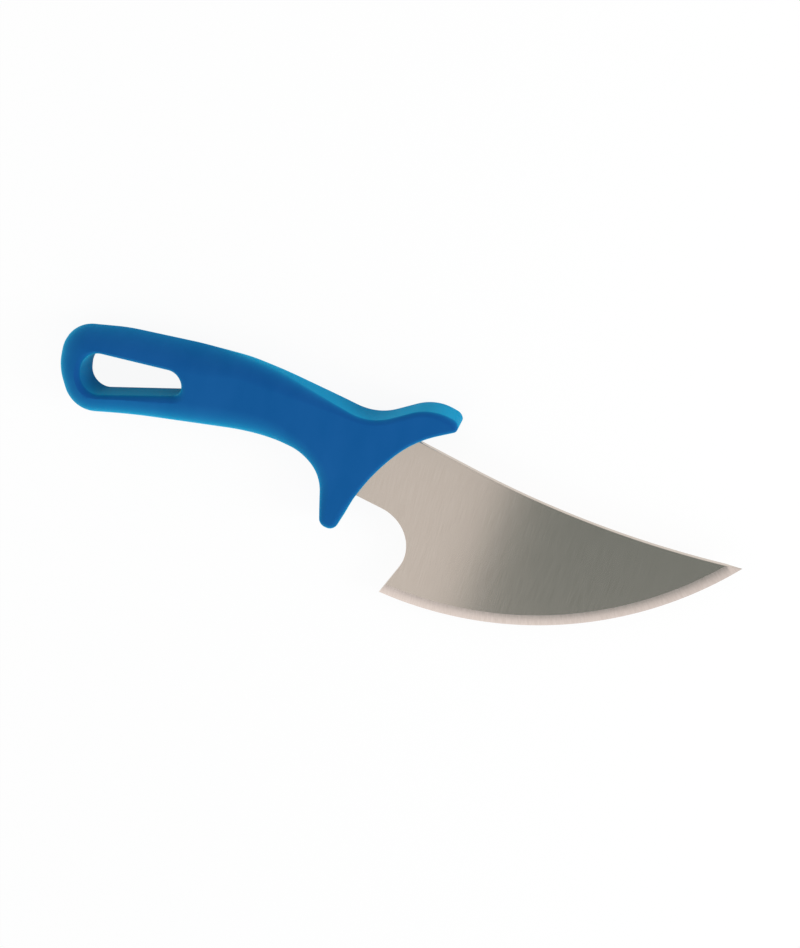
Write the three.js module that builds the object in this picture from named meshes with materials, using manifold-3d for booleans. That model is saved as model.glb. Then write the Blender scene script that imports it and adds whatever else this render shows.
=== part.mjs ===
// A pizza knife: a stamped steel blade whose tang is moulded into a one-piece plastic handle.
// Millimetres. The knife lies on its side: +X runs from butt to tip, +Y towards the spine and +Z
// up through the thickness. The origin is on the handle's underside, in the middle of the guard.
import * as THREE from 'three';
import { mergeVertices } from 'three/addons/utils/BufferGeometryUtils.js';
import Module from 'manifold-3d';

// Handle, across its thickness
const HANDLE_THICKNESS = 18;

// Handle outline: each corner's place, and the radius that its bend has
const BUTT_BACK = 133.9;
const BUTT_BACK_DROP = 0.9;
const BUTT_BACK_BEND = 25;
const BUTT_TOP_LEAN = 0.4;
const BUTT_TOP_RISE = 18.6;
const BUTT_TOP_BEND = 14.6;
const BUTT_BOTTOM_LEAN = 9.6;
const BUTT_BOTTOM_DROP = 19.1;
const BUTT_BOTTOM_BEND = 13.6;
const PALM_LEAN = 36.9;
const PALM_DROP = 12.15;
const PALM_BEND = 300;
const CROWN_BACK = 107.6;
const CROWN_BACK_RISE = 24.55;
const CROWN_BACK_BEND = 87;
const CROWN_MIDDLE = 75;
const CROWN_MIDDLE_RISE = 28;
const CROWN_MIDDLE_BEND = 150;
const CROWN_FRONT = 50;
const CROWN_FRONT_RISE = 29.25;
const CROWN_FRONT_BEND = 160;
const VALLEY_AHEAD = 2.8;
const VALLEY_RISE = 19.6;
const VALLEY_BEND = 22.9;
const CREST_AHEAD = 25.3;
const CREST_RISE = 34.5;
const CREST_BEND = 21;
const THUMB_TIP_AHEAD = 36.9;
const THUMB_TIP_RISE = 31.95;
const THUMB_TIP_HEIGHT = 3.65;
const THUMB_TIP_SLANT = 1.8;
const THUMB_TIP_TOP_BEND = 3.5;
const THUMB_TIP_BOTTOM_BEND = 2.2;
const FRONT_TOP_AHEAD = 22.3;
const FRONT_TOP_RISE = 18.4;
const FRONT_TOP_BEND = 47.4;
const FRONT_BOTTOM_AHEAD = 6.85;
const FRONT_BOTTOM_DROP = 4.8;
const FRONT_BOTTOM_BEND = 95;
const GUARD_TIP_DROP = 31.2;
const GUARD_TIP_AHEAD = 0.4;
const GUARD_TIP_WIDTH = 6.85;
const GUARD_TIP_BEND = 4;
const GUARD_ROOT_BACK = 13.9;
const GUARD_ROOT_DROP = 4.2;
const GUARD_ROOT_BEND = 19.2;
const BELLY_BACK = 42.2;
const BELLY_DROP = 1.8;
const BELLY_BEND = 105;

// Handle rims: how far the rounding of each stretch reaches in from the outline
const BUTT_RIM = 10;
const BUTT_BOTTOM_RIM = 10.5;
const CROWN_BACK_RIM = 11.5;
const CROWN_MIDDLE_RIM = 12;
const CROWN_FRONT_RIM = 8;
const BELLY_RIM = 11.5;
const THUMB_RIM = 2.2;
const THUMB_TIP_TOP_RIM = 3;
const THUMB_TIP_BOTTOM_RIM = 1.95;
const FRONT_RIM = 1.8;
const GUARD_BACK_RIM = 3.2;
const GUARD_FRONT_RIM = 2.6;
const GUARD_ROOT_RIM = 7;

// Least straight wall between the rims of the two faces
const RIM_WALL = 0.6;

// Hanging slot, set off from the butt
const SLOT_BUTT_WALL = 10.4;
const SLOT_LENGTH = 45.5;
const SLOT_LEAN = 2.7;
const SLOT_BACK_TOP_RISE = 11.15;
const SLOT_BACK_HEIGHT = 20.2;
const SLOT_FRONT_TOP_RISE = 14.95;
const SLOT_FRONT_HEIGHT = 10.5;
const SLOT_BACK_TOP_BEND = 9;
const SLOT_BACK_BOTTOM_BEND = 7.8;
const SLOT_FRONT_TOP_BEND = 6.2;
const SLOT_FRONT_BOTTOM_BEND = 4;
const SLOT_TOP_LIP = 2;
const SLOT_BACK_BOTTOM_LIP = 2.8;
const SLOT_FRONT_BOTTOM_LIP = 3.4;

// Blade plate outside the handle
const BLADE_THICKNESS = 2.5;
const TIP_AHEAD = 166;
const TIP_RISE = 7.7;
const SPINE_HOLLOW_AHEAD = 102.8;
const SPINE_HOLLOW_RISE = 2.6;
const SPINE_BEND = 420;
const HEEL_AHEAD = 25.7;
const HEEL_DROP = 55.1;
const NOTCH_AHEAD = 38.4;
const NOTCH_DROP = 20.5;
const NOTCH_BEND = 18;
const EDGE_RADIUS = 155;
const EDGE_BEVEL = 5.2;
const EDGE_LAND = 0.3;

// Blade's shoulders, each set in behind the handle's front, and the tang that runs back from them
const SHOULDER_TOP_DEPTH = 10.3;
const SHOULDER_TOP_RISE = 18.9;
const SHOULDER_BELOW_DEPTH = 8.85;
const SHOULDER_BELOW_DROP = 14;
const SHOULDER_BEND = 2;
const TANG_HEIGHT = 13;
const TANG_ROOT_RISE = 7.5;
const TANG_END_RISE = 12;
const TANG_LAP = 4;
const TANG_SLOT_WALL = 12;
const TANG_END_BEND = 4;
const TANG_HOLE_DIAMETER = 7;
const TANG_HOLE_INSET = 12;
const TANG_HOLE_PITCH = 30;

// Room that the moulding leaves all round the steel
const TANG_CLEARANCE = 0.3;

// How finely round stretches are divided
const BEND_STEP = THREE.MathUtils.degToRad(9);
const BEND_LEAST_STEPS = 2;
const CHORD_STEP = 7;
const RIM_STEPS = 4;
const EDGE_SEGMENTS = 360;
const HOLE_SEGMENTS = 24;

// How far a cutting shape runs on past what it cuts
const OVERRUN = 10;

// Outline points that lie nearer to each other than this are one point
const SAME_POINT = 1e-4;

// A convex bend never gets a rim wider than this share of its radius, so the rim can't fold over
const RIM_SHARE = 0.9;

const wasm = await Module();
wasm.setup();

// A closed geometry as a solid that can be joined and cut
function solid(geometry) {
  const bare = geometry.clone();
  bare.deleteAttribute('normal');
  bare.deleteAttribute('uv');
  const merged = mergeVertices(bare);
  const triangles = [];
  for (let i = 0; i < merged.index.count; i += 3) {
    const [a, b, c] = [0, 1, 2].map((k) => merged.index.getX(i + k));
    if (a !== b && b !== c && c !== a) triangles.push(a, b, c);
  }
  return new wasm.Manifold(new wasm.Mesh({
    numProp: 3,
    vertProperties: new Float32Array(merged.attributes.position.array),
    triVerts: new Uint32Array(triangles),
  }));
}

// A solid as a named mesh in its own material
function piece(name, body, material) {
  const { vertProperties, triVerts } = body.getMesh();
  const geometry = new THREE.BufferGeometry();
  geometry.setAttribute('position', new THREE.BufferAttribute(vertProperties, 3));
  geometry.setIndex(new THREE.BufferAttribute(triVerts, 1));
  geometry.computeVertexNormals();
  const mesh = new THREE.Mesh(geometry, material);
  mesh.name = name;
  return mesh;
}

function corner(x, y, bend = 0, rim = 0) {
  return { at: new THREE.Vector2(x, y), bend, rim };
}

// Lengths that each corner's bend takes off its two sides, shortened where neighbours would meet
function bendLengths(corners, turns, sides) {
  const wanted = corners.map((c, i) => c.bend * Math.tan(Math.abs(turns[i]) / 2));
  const share = sides.map((side, i) => {
    const both = wanted[i] + wanted[(i + 1) % corners.length];
    return both > side.length() ? side.length() / both : 1;
  });
  return wanted.map((length, i) => length * Math.min(share[i], share.at(i - 1)));
}

function bendSteps(turn, radius) {
  const byTurn = Math.ceil(turn / BEND_STEP);
  const byChord = Math.ceil(turn * radius / CHORD_STEP);
  return Math.max(BEND_LEAST_STEPS, byTurn, byChord);
}

// A closed outline through anticlockwise corners, with an arc at each bend. Every point knows the
// way out of the shape there, and the rim, which eases from the middle of one bend to the next.
function roundedOutline(corners) {
  const count = corners.length;
  const sides = corners.map((c, i) => corners[(i + 1) % count].at.clone().sub(c.at));
  const headings = sides.map((side) => side.angle());
  const turns = headings.map((heading, i) => {
    const turn = heading - headings.at(i - 1);
    return Math.atan2(Math.sin(turn), Math.cos(turn));
  });
  const taken = bendLengths(corners, turns, sides);
  const points = [];
  const middles = [];
  let travelled = 0;
  corners.forEach(({ at, bend, rim }, i) => {
    const turn = turns[i];
    const arriving = sides.at(i - 1).clone().normalize();
    const start = at.clone().addScaledVector(arriving, -taken[i]);
    const radius = bend > 0 ? taken[i] / Math.tan(Math.abs(turn) / 2) : 0;
    const steps = bend > 0 ? bendSteps(Math.abs(turn), radius) : 0;
    const side = Math.sign(turn) * radius;
    const centre = new THREE.Vector2(start.x - arriving.y * side, start.y + arriving.x * side);
    const first = points.length;
    for (let k = 0; k <= steps; k += 1) {
      const heading = headings.at(i - 1) + (steps > 0 ? turn * k / steps : turn / 2);
      const out = new THREE.Vector2(Math.sin(heading), -Math.cos(heading));
      const place = centre.clone().addScaledVector(out, side);
      const last = points.at(-1);
      travelled += last ? place.distanceTo(last.place) : 0;
      points.push({ place, out, travelled });
    }
    const middle = (points[first].travelled + points.at(-1).travelled) / 2;
    const widest = turn > 0 && bend > 0 ? radius * RIM_SHARE : Infinity;
    middles.push({ travelled: middle, rim: Math.min(rim, widest) });
  });
  const around = travelled + points[0].place.distanceTo(points.at(-1).place);
  points.forEach((point) => {
    point.rim = easedRim(middles, point.travelled, around);
  });
  return points.filter((point, i) => point.place.distanceTo(points.at(i - 1).place) > SAME_POINT);
}

function easedRim(middles, travelled, around) {
  const next = middles.findIndex((middle) => middle.travelled >= travelled);
  const to = middles.at(next === -1 ? 0 : next);
  const from = middles.at((next === -1 ? 0 : next) - 1);
  const span = (to.travelled - from.travelled + around) % around;
  const gone = (travelled - from.travelled + around) % around;
  return THREE.MathUtils.lerp(from.rim, to.rim, THREE.MathUtils.smoothstep(gone / span, 0, 1));
}

// A closed body that follows an outline, ring over ring. The profile gives the rings at a point
// from the bottom up, each as how far it stands in from the outline and its height.
function loft(outline, profile) {
  const count = outline.length;
  const columns = outline.map(({ place, out, rim }) => profile(rim).map(([inset, z]) => (
    new THREE.Vector3(place.x - out.x * inset, place.y - out.y * inset, z)
  )));
  const rings = columns[0].length;
  const vertices = [];
  const index = [];
  for (let ring = 0; ring < rings; ring += 1) {
    columns.forEach((column) => vertices.push(column[ring]));
  }
  for (let ring = 0; ring + 1 < rings; ring += 1) {
    for (let i = 0; i < count; i += 1) {
      const a = ring * count + i;
      const b = ring * count + (i + 1) % count;
      index.push(a, b, b + count, a, b + count, a + count);
    }
  }
  const flat = (ring) => columns.map((column) => new THREE.Vector2(column[ring].x, column[ring].y));
  THREE.ShapeUtils.triangulateShape(flat(0), []).forEach(([a, b, c]) => index.push(c, b, a));
  const top = (rings - 1) * count;
  THREE.ShapeUtils.triangulateShape(flat(rings - 1), []).forEach(([a, b, c]) => {
    index.push(top + a, top + b, top + c);
  });
  const geometry = new THREE.BufferGeometry().setFromPoints(vertices);
  geometry.setIndex(index);
  return geometry;
}

// A flat plate about the blade's middle plane, grown all round by a clearance
function plate(corners, holes, clearance) {
  const grown = roundedOutline(offsetCorners(corners, clearance));
  const shape = new THREE.Shape(grown.map(({ place }) => place));
  holes.forEach(({ at, radius }) => {
    const hole = new THREE.Path();
    hole.absarc(at.x, at.y, radius - clearance, 0, 2 * Math.PI, true);
    shape.holes.push(hole);
  });
  const depth = BLADE_THICKNESS + 2 * clearance;
  const geometry = new THREE.ExtrudeGeometry(shape, {
    depth,
    bevelEnabled: false,
    curveSegments: HOLE_SEGMENTS,
  });
  return geometry.translate(0, 0, (HANDLE_THICKNESS - depth) / 2);
}

// The same corners with every side moved out, and each bend fitted to its moved sides
function offsetCorners(corners, distance) {
  return corners.map((c, i) => {
    const before = c.at.clone().sub(corners.at(i - 1).at).normalize();
    const after = corners[(i + 1) % corners.length].at.clone().sub(c.at).normalize();
    const outBefore = new THREE.Vector2(before.y, -before.x);
    const outAfter = new THREE.Vector2(after.y, -after.x);
    const reach = distance / (1 + outBefore.dot(outAfter));
    const moved = c.at.clone().addScaledVector(outBefore.add(outAfter), reach);
    const wider = Math.sign(before.cross(after)) * distance;
    return corner(moved.x, moved.y, c.bend > 0 ? Math.max(c.bend + wider, 0) : 0);
  });
}

// Handle: one moulding with rounded rims, a hanging slot and a pocket round the tang
function handleCorners() {
  const tipBottom = new THREE.Vector2(THUMB_TIP_AHEAD + THUMB_TIP_SLANT, THUMB_TIP_RISE - THUMB_TIP_HEIGHT);
  return [
    corner(-BUTT_BACK + BUTT_TOP_LEAN, BUTT_TOP_RISE, BUTT_TOP_BEND, BUTT_RIM),
    corner(-BUTT_BACK, -BUTT_BACK_DROP, BUTT_BACK_BEND, BUTT_RIM),
    corner(-BUTT_BACK + BUTT_BOTTOM_LEAN, -BUTT_BOTTOM_DROP, BUTT_BOTTOM_BEND, BUTT_BOTTOM_RIM),
    corner(-BUTT_BACK + PALM_LEAN, -PALM_DROP, PALM_BEND, BELLY_RIM),
    corner(-BELLY_BACK, -BELLY_DROP, BELLY_BEND, BELLY_RIM),
    corner(-GUARD_ROOT_BACK, -GUARD_ROOT_DROP, GUARD_ROOT_BEND, GUARD_ROOT_RIM),
    corner(GUARD_TIP_AHEAD - GUARD_TIP_WIDTH, -GUARD_TIP_DROP, GUARD_TIP_BEND, GUARD_BACK_RIM),
    corner(GUARD_TIP_AHEAD, -GUARD_TIP_DROP, GUARD_TIP_BEND, GUARD_FRONT_RIM),
    corner(FRONT_BOTTOM_AHEAD, -FRONT_BOTTOM_DROP, FRONT_BOTTOM_BEND, FRONT_RIM),
    corner(FRONT_TOP_AHEAD, FRONT_TOP_RISE, FRONT_TOP_BEND, FRONT_RIM),
    corner(tipBottom.x, tipBottom.y, THUMB_TIP_BOTTOM_BEND, THUMB_TIP_BOTTOM_RIM),
    corner(THUMB_TIP_AHEAD, THUMB_TIP_RISE, THUMB_TIP_TOP_BEND, THUMB_TIP_TOP_RIM),
    corner(CREST_AHEAD, CREST_RISE, CREST_BEND, THUMB_RIM),
    corner(VALLEY_AHEAD, VALLEY_RISE, VALLEY_BEND, THUMB_RIM),
    corner(-CROWN_FRONT, CROWN_FRONT_RISE, CROWN_FRONT_BEND, CROWN_FRONT_RIM),
    corner(-CROWN_MIDDLE, CROWN_MIDDLE_RISE, CROWN_MIDDLE_BEND, CROWN_MIDDLE_RIM),
    corner(-CROWN_BACK, CROWN_BACK_RISE, CROWN_BACK_BEND, CROWN_BACK_RIM),
  ];
}

// Rings of the handle's rim: in from the flat, round to the wall and back in to the other flat.
// A rim wider than the half thickness is a flatter arc, and the two sides' arcs meet in a ridge.
function handleProfile(rim) {
  const rise = Math.min(rim, (HANDLE_THICKNESS - RIM_WALL) / 2);
  const end = 2 * Math.atan2(rise, rim);
  const radius = rim / Math.sin(end);
  const rings = [];
  for (let k = 0; k <= RIM_STEPS; k += 1) {
    const lean = end * k / RIM_STEPS;
    rings.push([rim - radius * Math.sin(lean), radius * (1 - Math.cos(lean))]);
  }
  const upper = rings.map(([inset, z]) => [inset, HANDLE_THICKNESS - z]).reverse();
  return [...rings, ...upper];
}

const slotBack = -BUTT_BACK + SLOT_BUTT_WALL;
const slotFront = slotBack + SLOT_LENGTH;

function slotCorners() {
  const backBottom = SLOT_BACK_TOP_RISE - SLOT_BACK_HEIGHT;
  const frontBottom = SLOT_FRONT_TOP_RISE - SLOT_FRONT_HEIGHT;
  return [
    corner(slotBack, SLOT_BACK_TOP_RISE, SLOT_BACK_TOP_BEND, SLOT_TOP_LIP),
    corner(slotBack + SLOT_LEAN, backBottom, SLOT_BACK_BOTTOM_BEND, SLOT_BACK_BOTTOM_LIP),
    corner(slotFront, frontBottom, SLOT_FRONT_BOTTOM_BEND, SLOT_FRONT_BOTTOM_LIP),
    corner(slotFront, SLOT_FRONT_TOP_RISE, SLOT_FRONT_TOP_BEND, SLOT_TOP_LIP),
  ];
}

// Rings of the slot's cutter: it flares at both faces, so that the slot gets rounded lips
function slotProfile(lip) {
  const rings = [[-lip, -OVERRUN]];
  for (let k = 0; k <= RIM_STEPS; k += 1) {
    const angle = Math.PI / 2 * k / RIM_STEPS;
    rings.push([-lip * (1 - Math.sin(angle)), lip * (1 - Math.cos(angle))]);
  }
  const upper = rings.map(([inset, z]) => [inset, HANDLE_THICKNESS - z]).reverse();
  return [...rings, ...upper];
}

// Blade: the plate outside the handle, running past its edge, which a bevelled disc then cuts
const tip = new THREE.Vector2(TIP_AHEAD, TIP_RISE);
const heel = new THREE.Vector2(HEEL_AHEAD, -HEEL_DROP);
const spineHollow = new THREE.Vector2(SPINE_HOLLOW_AHEAD, SPINE_HOLLOW_RISE);
const notch = new THREE.Vector2(NOTCH_AHEAD, -NOTCH_DROP);
const shoulderTop = new THREE.Vector2(FRONT_TOP_AHEAD - SHOULDER_TOP_DEPTH, SHOULDER_TOP_RISE);
const shoulderBelow = new THREE.Vector2(FRONT_BOTTOM_AHEAD - SHOULDER_BELOW_DEPTH, -SHOULDER_BELOW_DROP);

function runOn(from, to) {
  return to.clone().addScaledVector(to.clone().sub(from).normalize(), OVERRUN);
}

function bladeCorners() {
  const pastTip = runOn(spineHollow, tip);
  const pastHeel = runOn(notch, heel);
  return [
    corner(shoulderTop.x, shoulderTop.y, SHOULDER_BEND),
    corner(shoulderBelow.x, shoulderBelow.y, SHOULDER_BEND),
    corner(notch.x, notch.y, NOTCH_BEND),
    corner(pastHeel.x, pastHeel.y),
    corner(pastTip.x, pastHeel.y),
    corner(pastTip.x, pastTip.y),
    corner(spineHollow.x, spineHollow.y, SPINE_BEND),
  ];
}

// Disc of the edge's radius through heel and tip, thinned to the edge over the bevel
function edgeDisc() {
  const chord = tip.clone().sub(heel);
  const square = new THREE.Vector2(-chord.y, chord.x).normalize();
  const rise = Math.sqrt(EDGE_RADIUS ** 2 - chord.lengthSq() / 4);
  const centre = heel.clone().lerp(tip, 0.5).addScaledVector(square, rise);
  const half = BLADE_THICKNESS / 2;
  const profile = [
    new THREE.Vector2(0, -half),
    new THREE.Vector2(EDGE_RADIUS - EDGE_BEVEL, -half),
    new THREE.Vector2(EDGE_RADIUS, -EDGE_LAND / 2),
    new THREE.Vector2(EDGE_RADIUS, EDGE_LAND / 2),
    new THREE.Vector2(EDGE_RADIUS - EDGE_BEVEL, half),
    new THREE.Vector2(0, half),
  ];
  return new THREE.LatheGeometry(profile, EDGE_SEGMENTS)
    .rotateX(Math.PI / 2)
    .translate(centre.x, centre.y, HANDLE_THICKNESS / 2);
}

// Tang: a strip from the blade's shoulders to short of the slot, with holes that lock the plastic
const tangEnd = new THREE.Vector2(slotFront + TANG_SLOT_WALL, TANG_END_RISE);
const tangRoot = new THREE.Vector2(shoulderTop.x + TANG_LAP, TANG_ROOT_RISE);

function tangCorners() {
  const half = TANG_HEIGHT / 2;
  return [
    corner(tangRoot.x, tangRoot.y + half),
    corner(tangEnd.x, tangEnd.y + half, TANG_END_BEND),
    corner(tangEnd.x, tangEnd.y - half, TANG_END_BEND),
    corner(tangRoot.x, tangRoot.y - half),
  ];
}

function tangHoles() {
  const along = tangRoot.clone().sub(tangEnd).normalize();
  return [TANG_HOLE_INSET, TANG_HOLE_INSET + TANG_HOLE_PITCH].map((distance) => ({
    at: tangEnd.clone().addScaledVector(along, distance),
    radius: TANG_HOLE_DIAMETER / 2,
  }));
}

function bladeBody() {
  const outside = solid(plate(bladeCorners(), [], 0)).intersect(solid(edgeDisc()));
  return outside.add(solid(plate(tangCorners(), tangHoles(), 0)));
}

function tangPocket() {
  const neck = solid(plate(bladeCorners(), [], TANG_CLEARANCE));
  return neck.add(solid(plate(tangCorners(), tangHoles(), TANG_CLEARANCE)));
}

function handleBody() {
  const moulding = solid(loft(roundedOutline(handleCorners()), handleProfile));
  const slot = solid(loft(roundedOutline(slotCorners()), slotProfile));
  return moulding.subtract(slot).subtract(tangPocket());
}

const steel = new THREE.MeshStandardMaterial({ color: '#b9b0a6', roughness: 0.35, metalness: 1 });
const bluePlastic = new THREE.MeshStandardMaterial({ color: '#1d5495', roughness: 0.4, metalness: 0 });

const knife = new THREE.Group();
knife.add(piece('blade', bladeBody(), steel));
knife.add(piece('handle', handleBody(), bluePlastic));

export default knife;
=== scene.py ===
import math

import bpy
from mathutils import Matrix, Quaternion, Vector
from mathutils.kdtree import KDTree


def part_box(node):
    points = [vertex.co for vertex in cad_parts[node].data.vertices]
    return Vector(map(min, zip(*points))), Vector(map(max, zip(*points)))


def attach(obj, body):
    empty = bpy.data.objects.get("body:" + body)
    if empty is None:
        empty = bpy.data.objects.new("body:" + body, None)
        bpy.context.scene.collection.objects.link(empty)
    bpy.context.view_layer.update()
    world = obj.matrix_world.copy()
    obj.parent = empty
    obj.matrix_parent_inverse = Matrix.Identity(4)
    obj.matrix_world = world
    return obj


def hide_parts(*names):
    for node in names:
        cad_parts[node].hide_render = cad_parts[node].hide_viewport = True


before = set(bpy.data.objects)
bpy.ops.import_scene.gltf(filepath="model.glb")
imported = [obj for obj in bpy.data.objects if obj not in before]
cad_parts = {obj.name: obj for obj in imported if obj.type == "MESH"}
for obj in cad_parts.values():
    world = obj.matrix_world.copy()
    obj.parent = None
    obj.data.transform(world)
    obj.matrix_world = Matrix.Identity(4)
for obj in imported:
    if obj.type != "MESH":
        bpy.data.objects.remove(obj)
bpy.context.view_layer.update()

scene = bpy.context.scene


# Camera: a short telephoto that looks down on the knife's flat from beyond its spine, turned so that
# the handle lies at the upper left of the picture and the blade falls away to the right.
camera_aim = Vector((0.020, 0.0, 0.009))
camera_distance = 0.588
camera_azimuth = math.radians(77.334)
camera_elevation = math.radians(68.259)
camera_roll = math.radians(-149.899)
focal_length_px = 1400
picture_height_px = 948
sensor_mm = 36.0

bpy.ops.object.select_all(action="DESELECT")
bpy.ops.object.camera_add()
camera = bpy.context.object
camera.name = "camera"
camera.data.sensor_width = sensor_mm
camera.data.lens = focal_length_px / picture_height_px * sensor_mm
towards_camera = Vector((
    math.cos(camera_elevation) * math.cos(camera_azimuth),
    math.cos(camera_elevation) * math.sin(camera_azimuth),
    math.sin(camera_elevation),
))
upright = towards_camera.to_track_quat("Z", "Y")
camera.rotation_mode = "QUATERNION"
camera.rotation_quaternion = upright @ Quaternion((0, 0, 1), camera_roll)
camera.location = camera_aim + towards_camera * camera_distance
scene.camera = camera


# Blade: one plate stamped from stainless sheet, its curved edge ground to a V from both sides. A tang
# runs back from its shoulders into the handle, with two holes that lock the plastic shot round it.
# It is drawn in millimetres and brought to metres when it is whole.
MM = 0.001
blade_low, blade_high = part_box("blade")
blade_thickness = (blade_high.z - blade_low.z) / MM
blade_middle = (blade_high.z + blade_low.z) / 2 / MM
tip = Vector((blade_high.x / MM, 7.7))
heel = Vector((25.7, -55.1))
spine_hollow = Vector((102.8, 2.6))
spine_bend = 420
notch = Vector((38.4, -20.5))
notch_bend = 18
shoulder_top = Vector((12, 18.9))
shoulder_below = Vector((-2, -14))
shoulder_bend = 2
edge_radius = 155
edge_bevel = 5.2
edge_land = 0.06
blade_rounding = 0.15
tang_root = Vector((16, 7.5))
tang_end = Vector((blade_low.x / MM, 12))
tang_half = 6.5
tang_end_bend = 4
tang_hole_radius = 3.5
tang_hole_places = (12, 42)
overrun = 10
drawn_seam = 1e-3
closed_seam = 1e-4
hole_sides = 48
edge_sides = 720
wall_z = 0.1
flat_z = 0.9
honed_reach = 0.1
steepest_bevel_z = 0.95
flattest_bevel_z = 0.9995
blade_smooth_angle = math.radians(30)
tone_ends = (0.3, 0.7)
steel_dark = (0.595, 0.515, 0.445)
steel_light = (0.645, 0.565, 0.495)
steel_lines = (0.00025, 0.012, 0.012)
steel_roughness = (0.17, 0.21)
steel_relief = 1e-7
bevel_dark = (0.545, 0.465, 0.42)
bevel_light = (0.63, 0.545, 0.50)
bevel_marks = (0.0007, 0.004, 1)
bevel_roughness = (0.28, 0.4)
bevel_relief = 1e-6


def select_only(piece):
    bpy.ops.object.select_all(action="DESELECT")
    piece.select_set(True)
    bpy.context.view_layer.objects.active = piece


def bends(corners):
    """For each corner (x, y, radius): where its arc starts, the arc's centre, and how far it turns."""
    places = [Vector(corner[:2]) for corner in corners]
    for i, corner in enumerate(corners):
        radius = corner[2]
        before = (places[i] - places[i - 1]).normalized()
        after = (places[(i + 1) % len(places)] - places[i]).normalized()
        turn = math.atan2(before.cross(after), before.dot(after))
        start = places[i] - before * radius * abs(math.tan(turn / 2))
        centre = start + Vector((-before.y, before.x)) * math.copysign(radius, turn)
        yield start, centre, turn, radius


def draw_line(pen, place, stride):
    """Extrudes the selected vertex from one place to another in even strides."""
    strides = math.ceil((place - pen).length / stride)
    for _ in range(strides):
        move = (place - pen) / strides
        bpy.ops.mesh.extrude_vertices_move(TRANSFORM_OT_translate={"value": (move.x, move.y, 0)})


def trace(name, corners, level, stride=1000.0, bend_step=math.radians(5), chord=2.5):
    """Draws a closed outline anticlockwise: straights are extruded, and bends are spun."""
    bpy.ops.object.select_all(action="DESELECT")
    bpy.ops.mesh.primitive_plane_add()
    outline = bpy.context.object
    outline.name = name
    bpy.ops.object.mode_set(mode="EDIT")
    bpy.ops.mesh.merge(type="CENTER")
    arcs = list(bends(corners))
    first = pen = arcs[0][0]
    bpy.ops.transform.translate(value=(pen.x, pen.y, level))
    for start, centre, turn, radius in arcs:
        draw_line(pen, start, stride)
        pen = start
        if radius > 0:
            steps = max(2, math.ceil(abs(turn) / bend_step), math.ceil(abs(turn) * radius / chord))
            bpy.ops.mesh.spin(steps=steps, angle=-turn, center=(centre.x, centre.y, level), axis=(0, 0, 1))
            pen = centre + Matrix.Rotation(turn, 2) @ (start - centre)
    draw_line(pen, first, stride)
    bpy.ops.mesh.select_all(action="SELECT")
    bpy.ops.mesh.remove_doubles(threshold=drawn_seam)
    bpy.ops.object.mode_set(mode="OBJECT")
    return outline


def thicken(outline, height):
    """Fills a drawn outline and raises it to a closed slab."""
    select_only(outline)
    bpy.ops.object.mode_set(mode="EDIT")
    bpy.ops.mesh.select_all(action="SELECT")
    bpy.ops.mesh.edge_face_add()
    bpy.ops.mesh.extrude_region_move(TRANSFORM_OT_translate={"value": (0, 0, height)})
    bpy.ops.mesh.select_all(action="SELECT")
    bpy.ops.mesh.normals_make_consistent(inside=False)
    bpy.ops.object.mode_set(mode="OBJECT")
    return outline


def combine(piece, tool, operation):
    """Joins, cuts or trims a piece with a tool shape, which is used up."""
    modifier = piece.modifiers.new(operation.lower(), "BOOLEAN")
    modifier.operation = operation
    modifier.solver = "EXACT"
    modifier.object = tool
    select_only(piece)
    bpy.ops.object.modifier_apply(modifier=modifier.name)
    bpy.data.objects.remove(tool)


def round_edges(piece, wanted, offset, segments):
    """Rounds the edges for which wanted(one end, other end, normals of the faces beside it) holds."""
    mesh = piece.data
    beside = {}
    for face in mesh.polygons:
        for key in face.edge_keys:
            beside.setdefault(key, []).append(face.normal)
    select_only(piece)
    bpy.ops.object.mode_set(mode="EDIT")
    bpy.ops.mesh.select_mode(type="EDGE")
    bpy.ops.mesh.select_all(action="DESELECT")
    bpy.ops.object.mode_set(mode="OBJECT")
    for edge in mesh.edges:
        one, other = (mesh.vertices[i].co for i in edge.vertices)
        edge.select = wanted(one, other, beside[edge.key])
    bpy.ops.object.mode_set(mode="EDIT")
    bpy.ops.mesh.bevel(offset=offset, segments=segments, profile=0.5, affect="EDGES", clamp_overlap=False)
    bpy.ops.mesh.select_mode(type="VERT")
    bpy.ops.object.mode_set(mode="OBJECT")


def bring_to_metres(piece, smooth_angle):
    """Scales a whole piece from millimetres, closes its seams and shades its round stretches smoothly."""
    select_only(piece)
    bpy.ops.object.mode_set(mode="EDIT")
    bpy.ops.mesh.select_all(action="SELECT")
    bpy.ops.mesh.remove_doubles(threshold=closed_seam)
    bpy.ops.mesh.normals_make_consistent(inside=False)
    bpy.ops.object.mode_set(mode="OBJECT")
    piece.scale = (MM, MM, MM)
    bpy.ops.object.transform_apply(location=True, rotation=True, scale=True)
    bpy.ops.object.shade_smooth_by_angle(angle=smooth_angle)
    weighted = piece.modifiers.new("weighted", "WEIGHTED_NORMAL")
    weighted.keep_sharp = True
    bpy.ops.object.modifier_apply(modifier=weighted.name)


def run_on(start, end):
    return end + (end - start).normalized() * overrun


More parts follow.
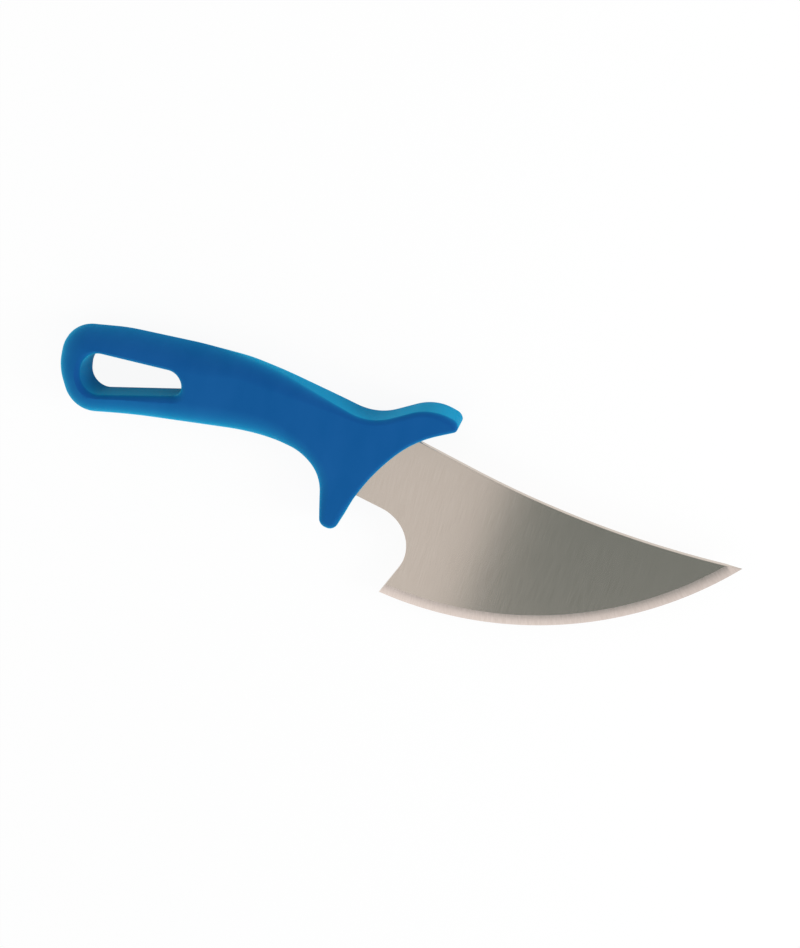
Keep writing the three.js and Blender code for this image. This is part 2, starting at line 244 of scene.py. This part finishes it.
past_tip = run_on(spine_hollow, tip)
past_heel = run_on(notch, heel)
blank_depth = blade_thickness + 2 * overrun
blank_level = blade_middle - blank_depth / 2
blade_corners = [
    (*shoulder_top, shoulder_bend),
    (*shoulder_below, shoulder_bend),
    (*notch, notch_bend),
    (*past_heel, 0),
    (past_tip.x, past_heel.y, 0),
    (*past_tip, 0),
    (*spine_hollow, spine_bend),
]
tang_corners = [
    (tang_root.x, tang_root.y + tang_half, 0),
    (tang_end.x, tang_end.y + tang_half, tang_end_bend),
    (tang_end.x, tang_end.y - tang_half, tang_end_bend),
    (tang_root.x, tang_root.y - tang_half, 0),
]
blade = thicken(trace("blade_steel", blade_corners, blank_level), blank_depth)
combine(blade, thicken(trace("tang", tang_corners, blank_level), blank_depth), "UNION")
for hole_place in tang_hole_places:
    hole_at = tang_end + (tang_root - tang_end).normalized() * hole_place
    bpy.ops.object.select_all(action="DESELECT")
    bpy.ops.mesh.primitive_cylinder_add(
        vertices=hole_sides, radius=tang_hole_radius, depth=2 * blank_depth,
        location=(*hole_at, blade_middle))
    combine(blade, bpy.context.object, "DIFFERENCE")

# The disc that the blank is trimmed to: its rim is the cutting edge, its two cones are the ground bevels
edge_chord = tip - heel
edge_centre = (heel + tip) / 2 + Vector((-edge_chord.y, edge_chord.x)).normalized() * math.sqrt(
    edge_radius ** 2 - edge_chord.length_squared / 4)
bpy.ops.object.select_all(action="DESELECT")
bpy.ops.mesh.primitive_cylinder_add(
    vertices=edge_sides, radius=edge_radius, depth=edge_land, location=(*edge_centre, blade_middle))
edge_disc = bpy.context.object
bpy.ops.object.transform_apply(location=True, rotation=True, scale=True)
for side in (1, -1):
    bpy.ops.object.mode_set(mode="EDIT")
    bpy.ops.mesh.select_mode(type="FACE")
    bpy.ops.mesh.select_all(action="DESELECT")
    bpy.ops.object.mode_set(mode="OBJECT")
    for face in edge_disc.data.polygons:
        face.select = face.normal.z * side > flat_z and len(face.vertices) > 4
    bpy.ops.object.mode_set(mode="EDIT")
    bpy.ops.mesh.extrude_region_move(
        TRANSFORM_OT_translate={"value": (0, 0, side * (blade_thickness - edge_land) / 2)})
    inner = (edge_radius - edge_bevel) / edge_radius
    bpy.ops.transform.resize(value=(inner, inner, 1), center_override=(*edge_centre, blade_middle))
    bpy.ops.mesh.select_mode(type="VERT")
    bpy.ops.object.mode_set(mode="OBJECT")
combine(blade, edge_disc, "INTERSECT")


def is_stamped_edge(one, other, normals):
    across = min(abs(normal.z) for normal in normals) < wall_z
    flat = max(abs(normal.z) for normal in normals) > flat_z
    honed = all(edge_radius - (Vector(end[:2]) - edge_centre).length < honed_reach for end in (one, other))
    return across and flat and not honed


round_edges(blade, is_stamped_edge, blade_rounding, segments=3)
select_only(blade)
bpy.ops.object.duplicate()
pocket = bpy.context.object
bring_to_metres(blade, blade_smooth_angle)


def noise(nodes, links, place, size, detail):
    """A noise pattern over a vector output, whose lumps have the given size along each axis."""
    stretch = nodes.new("ShaderNodeMapping")
    stretch.inputs["Scale"].default_value = [1 / length for length in size]
    pattern = nodes.new("ShaderNodeTexNoise")
    pattern.inputs["Scale"].default_value = 1.0
    pattern.inputs["Detail"].default_value = detail
    links.new(place, stretch.inputs["Vector"])
    links.new(stretch.outputs["Vector"], pattern.inputs["Vector"])
    return pattern.outputs["Fac"]


def tones(nodes, links, factor, dark, light):
    """A colour that a pattern carries from dark to light."""
    ramp = nodes.new("ShaderNodeValToRGB")
    ramp.color_ramp.elements[0].position = tone_ends[0]
    ramp.color_ramp.elements[0].color = (*dark, 1)
    ramp.color_ramp.elements[1].position = tone_ends[1]
    ramp.color_ramp.elements[1].color = (*light, 1)
    links.new(factor, ramp.inputs["Fac"])
    return ramp.outputs["Color"]


def span(nodes, links, factor, low, high):
    """A number that a pattern carries from low to high."""
    range_node = nodes.new("ShaderNodeMapRange")
    range_node.inputs["To Min"].default_value = low
    range_node.inputs["To Max"].default_value = high
    links.new(factor, range_node.inputs["Value"])
    return range_node.outputs["Result"]


def relief(nodes, links, height, depth):
    """A surface relief of the given depth in metres."""
    bump = nodes.new("ShaderNodeBump")
    bump.inputs["Distance"].default_value = depth
    links.new(height, bump.inputs["Height"])
    return bump.outputs["Normal"]


def flat_steel():
    """Satin steel, ground with fine lines from the spine towards the edge."""
    material = bpy.data.materials.new("satin_flat")
    material.use_nodes = True
    nodes, links = material.node_tree.nodes, material.node_tree.links
    shader = nodes["Principled BSDF"]
    shader.inputs["Metallic"].default_value = 1.0
    place = nodes.new("ShaderNodeTexCoord").outputs["Object"]
    lines = noise(nodes, links, place, steel_lines, detail=3)
    links.new(tones(nodes, links, lines, steel_dark, steel_light), shader.inputs["Base Color"])
    links.new(span(nodes, links, lines, *steel_roughness), shader.inputs["Roughness"])
    links.new(relief(nodes, links, lines, steel_relief), shader.inputs["Normal"])
    return material


def bevel_steel():
    """The ground bevel, with coarser grinding marks that run across it, square to the cutting edge."""
    material = bpy.data.materials.new("ground_bevel")
    material.use_nodes = True
    nodes, links = material.node_tree.nodes, material.node_tree.links
    shader = nodes["Principled BSDF"]
    shader.inputs["Metallic"].default_value = 1.0
    centred = nodes.new("ShaderNodeMapping")
    centred.inputs["Location"].default_value = (*(-edge_centre * MM), 0)
    links.new(nodes.new("ShaderNodeTexCoord").outputs["Object"], centred.inputs["Vector"])
    split = nodes.new("ShaderNodeSeparateXYZ")
    links.new(centred.outputs["Vector"], split.inputs["Vector"])
    angle = nodes.new("ShaderNodeMath")
    angle.operation = "ARCTAN2"
    links.new(split.outputs["X"], angle.inputs[0])
    links.new(split.outputs["Y"], angle.inputs[1])
    along = nodes.new("ShaderNodeMath")
    along.operation = "MULTIPLY"
    along.inputs[1].default_value = edge_radius * MM
    links.new(angle.outputs["Value"], along.inputs[0])
    reach = nodes.new("ShaderNodeVectorMath")
    reach.operation = "LENGTH"
    links.new(centred.outputs["Vector"], reach.inputs[0])
    place = nodes.new("ShaderNodeCombineXYZ")
    links.new(along.outputs["Value"], place.inputs["X"])
    links.new(reach.outputs["Value"], place.inputs["Y"])
    marks = noise(nodes, links, place.outputs["Vector"], bevel_marks, detail=4)
    links.new(tones(nodes, links, marks, bevel_dark, bevel_light), shader.inputs["Base Color"])
    links.new(span(nodes, links, marks, *bevel_roughness), shader.inputs["Roughness"])
    links.new(relief(nodes, links, marks, bevel_relief), shader.inputs["Normal"])
    return material


blade.data.materials.clear()
blade.data.materials.append(flat_steel())
blade.data.materials.append(bevel_steel())
for face in blade.data.polygons:
    face.material_index = 1 if steepest_bevel_z < abs(face.normal.z) < flattest_bevel_z else 0
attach(blade, "root")
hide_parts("blade")


# Handle: a single moulding in blue plastic, shot round the tang. Its flat sides round off into the
# walls, widely along the grip and tightly at the thumb rest, and a wedge-shaped slot lets it hang.
# Handle and slot are drawn as half of their thickness and mirrored. A corner is (x, y, bend, rim).
handle_low, handle_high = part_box("handle")
handle_half = (handle_high.z - handle_low.z) / 2 / MM
handle_middle = (handle_high.z + handle_low.z) / 2 / MM
handle_corners = [
    (-133.5, 18.6, 14.6, 10),
    (-133.9, -0.9, 25, 10),
    (-124.3, -19.1, 13.6, 10.5),
    (-97, -12.15, 300, 11.5),
    (-42.2, -1.8, 105, 11.5),
    (-13.9, -4.2, 19.2, 7),
    (-6.45, -31.2, 4, 3.2),
    (0.4, -31.2, 4, 2.6),
    (6.85, -4.8, 95, 1.8),
    (22.3, 18.4, 47.4, 1.8),
    (38.7, 28.3, 2.2, 1.95),
    (36.9, 31.95, 3.5, 3),
    (25.3, 34.5, 21, 2.2),
    (2.8, 19.6, 22.9, 2.2),
    (-50, 29.25, 160, 8),
    (-75, 28, 150, 12),
    (-107.6, 24.55, 87, 11.5),
]
slot_corners = [
    (-123.5, 11.15, 9, 2),
    (-120.8, -9.05, 7.8, 2.8),
    (-78, 4.45, 4, 3.4),
    (-78, 14.95, 6.2, 2),
]
least_wall = 0.3
rim_steps = 10
rim_turns = [math.radians(90 * step / rim_steps) for step in range(rim_steps + 1)]
handle_stride = 4
handle_bend_step = math.radians(4)
handle_smooth_angle = math.radians(35)
plastic_dark = (0.006, 0.060, 0.255)
plastic_light = (0.009, 0.070, 0.280)
flow_marks = (0.012, 0.030, 0.012)
skin_grain = (0.0005, 0.0005, 0.0005)
skin_roughness = (0.40, 0.50)
skin_relief = 4e-6
plastic_gloss = 0.02
sheen_weight = 0.85
sheen_roughness = 0.55
sheen_tint = (0.0, 0.72, 1.0)


def places_round(outline):
    """The places of a closed outline's vertices, in anticlockwise order."""
    mesh = outline.data
    beside = {vertex.index: [] for vertex in mesh.vertices}
    for one, other in mesh.edge_keys:
        beside[one].append(other)
        beside[other].append(one)
    order = [0, beside[0][0]]
    while len(order) < len(mesh.vertices):
        order.append(next(index for index in beside[order[-1]] if index != order[-2]))
    places = [mesh.vertices[index].co.xy for index in order]
    twice_area = sum(here.cross(there) for here, there in zip(places, places[1:] + places[:1]))
    return places if twice_area > 0 else places[::-1]


def rims_round(places, corners):
    """The rim at each place round an outline, eased from the middle of one bend to that of the next."""
    lengths = [(there - here).length for here, there in zip(places, places[1:] + places[:1])]
    travelled = [sum(lengths[:i]) for i in range(len(places))]
    around = sum(lengths)
    stations = []
    for (start, centre, turn, radius), corner in zip(bends(corners), corners):
        middle = centre + Matrix.Rotation(turn / 2, 2) @ (start - centre)
        nearest = min(range(len(places)), key=lambda i: (places[i] - middle).length)
        stations.append((travelled[nearest], corner[3]))
    stations.sort()
    before = (stations[-1][0] - around, stations[-1][1])
    after = (stations[0][0] + around, stations[0][1])
    stations = [before, *stations, after]
    rims = []
    for gone in travelled:
        k = max(i for i, station in enumerate(stations[:-1]) if station[0] <= gone)
        (start, rim), (end, next_rim) = stations[k], stations[k + 1]
        share = (gone - start) / (end - start)
        rims.append(rim + (next_rim - rim) * share * share * (3 - 2 * share))
    return rims


def mould(name, corners, profile):
    """Extrudes an outline ring by ring, draws each ring in as the profile says, and mirrors that half."""
    body = trace(name, corners, 0, stride=handle_stride, bend_step=handle_bend_step)
    places = places_round(body)
    rims = rims_round(places, corners)
    columns = KDTree(len(places))
    for i, place in enumerate(places):
        columns.insert((*place, 0), i)
    columns.balance()
    select_only(body)
    bpy.ops.object.mode_set(mode="EDIT")
    bpy.ops.mesh.select_all(action="SELECT")
    for _ in profile(rims[0])[1:]:
        bpy.ops.mesh.extrude_edges_move(TRANSFORM_OT_translate={"value": (0, 0, 1)})
    bpy.ops.mesh.edge_face_add()
    bpy.ops.object.mode_set(mode="OBJECT")
    for vertex in body.data.vertices:
        i = columns.find((*vertex.co.xy, 0))[1]
        back, ahead = places[i] - places[i - 1], places[(i + 1) % len(places)] - places[i]
        along = (back / back.length_squared + ahead / ahead.length_squared).normalized()
        inset, height = profile(rims[i])[round(vertex.co.z)]
        vertex.co = (*(places[i] + Vector((-along.y, along.x)) * inset), height)
    mirror = body.modifiers.new("mirror", "MIRROR")
    mirror.use_axis = (False, False, True)
    bpy.ops.object.modifier_apply(modifier=mirror.name)
    bpy.ops.object.mode_set(mode="EDIT")
    bpy.ops.mesh.select_all(action="SELECT")
    bpy.ops.mesh.normals_make_consistent(inside=False)
    bpy.ops.object.mode_set(mode="OBJECT")
    body.location.z = handle_middle
    bpy.ops.object.transform_apply(location=True, rotation=True, scale=True)
    return body


def rounded_rim(rim):
    """Rings of the handle's wall, from its middle up: straight, then in to the flat side over an arc, which
    is flatter and rises from a ridge where the rim is wider than the half thickness."""
    rise = min(rim, handle_half - least_wall)
    end = 2 * math.atan2(rise, rim)
    radius = rim / math.sin(end)
    leans = [end * (1 - turn / rim_turns[-1]) for turn in rim_turns]
    insets = [rim - radius * math.sin(lean) for lean in leans]
    heights = [handle_half - radius * (1 - math.cos(lean)) for lean in leans]
    return [(0, 0), *zip(insets, heights)]


def flared_lip(lip):
    """Rings of the slot's cutter, from its middle up: straight, then flaring out past the flat side."""
    flare = [(-lip * (1 - math.cos(turn)), handle_half - lip * (1 - math.sin(turn))) for turn in rim_turns]
    return [(0, 0), *flare, (-lip, handle_half + overrun)]


handle = mould("handle_moulding", handle_corners, rounded_rim)
combine(handle, mould("slot", slot_corners, flared_lip), "DIFFERENCE")
combine(handle, pocket, "DIFFERENCE")
bring_to_metres(handle, handle_smooth_angle)


def blue_plastic():
    """Satin blue plastic, with faint flow marks under a finely eroded skin."""
    material = bpy.data.materials.new("blue_moulding")
    material.use_nodes = True
    nodes, links = material.node_tree.nodes, material.node_tree.links
    shader = nodes["Principled BSDF"]
    place = nodes.new("ShaderNodeTexCoord").outputs["Object"]
    flow = noise(nodes, links, place, flow_marks, detail=3)
    skin = noise(nodes, links, place, skin_grain, detail=2)
    links.new(tones(nodes, links, flow, plastic_dark, plastic_light), shader.inputs["Base Color"])
    links.new(span(nodes, links, skin, *skin_roughness), shader.inputs["Roughness"])
    links.new(relief(nodes, links, skin, skin_relief), shader.inputs["Normal"])
    shader.inputs["Specular IOR Level"].default_value = plastic_gloss
    shader.inputs["Sheen Weight"].default_value = sheen_weight
    shader.inputs["Sheen Roughness"].default_value = sheen_roughness
    shader.inputs["Sheen Tint"].default_value = (*sheen_tint, 1)
    return material


handle.data.materials.clear()
handle.data.materials.append(blue_plastic())
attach(handle, "root")
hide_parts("handle")


# Floor and light: a white sheet that shows white to the camera and in reflections and still takes a soft
# shadow, a soft dome that is stronger in front of the edge than behind the spine and dim overhead, a
# light panel that only the steel mirrors, and a lamp off the blade's tip that the steel doesn't mirror.
floor_size = 6.0
floor_colour = (0.9, 0.9, 0.9)
floor_glow = 0.92
ring_light = 1.08
ring_lean = (-0.2, -0.35, 0)
ceiling_light = (0.24, 0.285, 0.285)
ring_top = 0.79
ceiling_bottom = 0.89
panel_height = 0.320
panel_light = 0.87
panel_corners = [(-0.144, -0.260), (0.055, -0.260), (-0.053, -0.060), (0.067, -0.060)]
lamp_place = Vector((0.80, 0.16, 0.36))
lamp_aim = Vector((0.0, 0.0, 0.009))
lamp_size = 0.4
lamp_watts = 4.2

bpy.ops.object.select_all(action="DESELECT")
bpy.ops.mesh.primitive_plane_add(size=floor_size)
floor = bpy.context.object
floor.name = "floor"
sheet = bpy.data.materials.new("white_sheet")
sheet.use_nodes = True
nodes, links = sheet.node_tree.nodes, sheet.node_tree.links
nodes.clear()
seen = nodes.new("ShaderNodeLightPath")
seen_or_mirrored = nodes.new("ShaderNodeMath")
seen_or_mirrored.operation = "MAXIMUM"
links.new(seen.outputs["Is Camera Ray"], seen_or_mirrored.inputs[0])
links.new(seen.outputs["Is Glossy Ray"], seen_or_mirrored.inputs[1])
or_through = nodes.new("ShaderNodeMath")
or_through.operation = "MAXIMUM"
links.new(seen_or_mirrored.outputs["Value"], or_through.inputs[0])
links.new(seen.outputs["Is Transmission Ray"], or_through.inputs[1])
glow_share = nodes.new("ShaderNodeMath")
glow_share.operation = "MULTIPLY"
glow_share.inputs[1].default_value = floor_glow
links.new(or_through.outputs["Value"], glow_share.inputs[0])
paper = nodes.new("ShaderNodeBsdfDiffuse")
paper.inputs["Color"].default_value = (*floor_colour, 1)
white = nodes.new("ShaderNodeEmission")
mixed = nodes.new("ShaderNodeMixShader")
links.new(glow_share.outputs["Value"], mixed.inputs["Fac"])
links.new(paper.outputs["BSDF"], mixed.inputs[1])
links.new(white.outputs["Emission"], mixed.inputs[2])
links.new(mixed.outputs["Shader"], nodes.new("ShaderNodeOutputMaterial").inputs["Surface"])
floor.data.materials.append(sheet)

bpy.ops.object.select_all(action="DESELECT")
bpy.ops.mesh.primitive_plane_add()
panel = bpy.context.object
panel.name = "light_panel"
for vertex, corner in zip(panel.data.vertices, panel_corners):
    vertex.co = (*corner, panel_height)
panel_face = bpy.data.materials.new("panel_face")
panel_face.use_nodes = True
nodes, links = panel_face.node_tree.nodes, panel_face.node_tree.links
nodes.clear()
shine = nodes.new("ShaderNodeEmission")
shine.inputs["Strength"].default_value = panel_light
links.new(shine.outputs["Emission"], nodes.new("ShaderNodeOutputMaterial").inputs["Surface"])
panel.data.materials.append(panel_face)
panel.visible_camera = False
panel.visible_diffuse = False
panel.visible_shadow = False

bpy.ops.object.select_all(action="DESELECT")
bpy.ops.object.light_add(type="AREA", location=lamp_place)
lamp = bpy.context.object
lamp.name = "side_lamp"
lamp.data.size = lamp_size
lamp.data.energy = lamp_watts
lamp.visible_glossy = False
lamp.rotation_euler = (lamp_place - lamp_aim).to_track_quat("Z", "Y").to_euler()

world = bpy.data.worlds.new("soft_studio")
world.use_nodes = True
scene.world = world
nodes, links = world.node_tree.nodes, world.node_tree.links
nodes.clear()
direction = nodes.new("ShaderNodeTexCoord").outputs["Generated"]
lean = nodes.new("ShaderNodeVectorMath")
lean.operation = "DOT_PRODUCT"
lean.inputs[1].default_value = ring_lean
links.new(direction, lean.inputs[0])
ring_strength = nodes.new("ShaderNodeMath")
ring_strength.operation = "MULTIPLY_ADD"
ring_strength.inputs[1].default_value = ring_light
ring_strength.inputs[2].default_value = ring_light
links.new(lean.outputs["Value"], ring_strength.inputs[0])
ring = nodes.new("ShaderNodeBackground")
ring.inputs["Color"].default_value = (1, 1, 1, 1)
links.new(ring_strength.outputs["Value"], ring.inputs["Strength"])
ceiling = nodes.new("ShaderNodeBackground")
ceiling.inputs["Color"].default_value = (*ceiling_light, 1)
height = nodes.new("ShaderNodeSeparateXYZ")
links.new(direction, height.inputs["Vector"])
overhead = nodes.new("ShaderNodeMapRange")
overhead.interpolation_type = "SMOOTHSTEP"
overhead.inputs["From Min"].default_value = ring_top
overhead.inputs["From Max"].default_value = ceiling_bottom
links.new(height.outputs["Z"], overhead.inputs["Value"])
dome = nodes.new("ShaderNodeMixShader")
links.new(overhead.outputs["Result"], dome.inputs["Fac"])
links.new(ring.outputs["Background"], dome.inputs[1])
links.new(ceiling.outputs["Background"], dome.inputs[2])
backdrop = nodes.new("ShaderNodeBackground")
backdrop.inputs["Color"].default_value = (1, 1, 1, 1)
shown = nodes.new("ShaderNodeMixShader")
links.new(nodes.new("ShaderNodeLightPath").outputs["Is Camera Ray"], shown.inputs["Fac"])
links.new(dome.outputs["Shader"], shown.inputs[1])
links.new(backdrop.outputs["Background"], shown.inputs[2])
links.new(shown.outputs["Shader"], nodes.new("ShaderNodeOutputWorld").inputs["Surface"])

scene.view_settings.view_transform = "Standard"
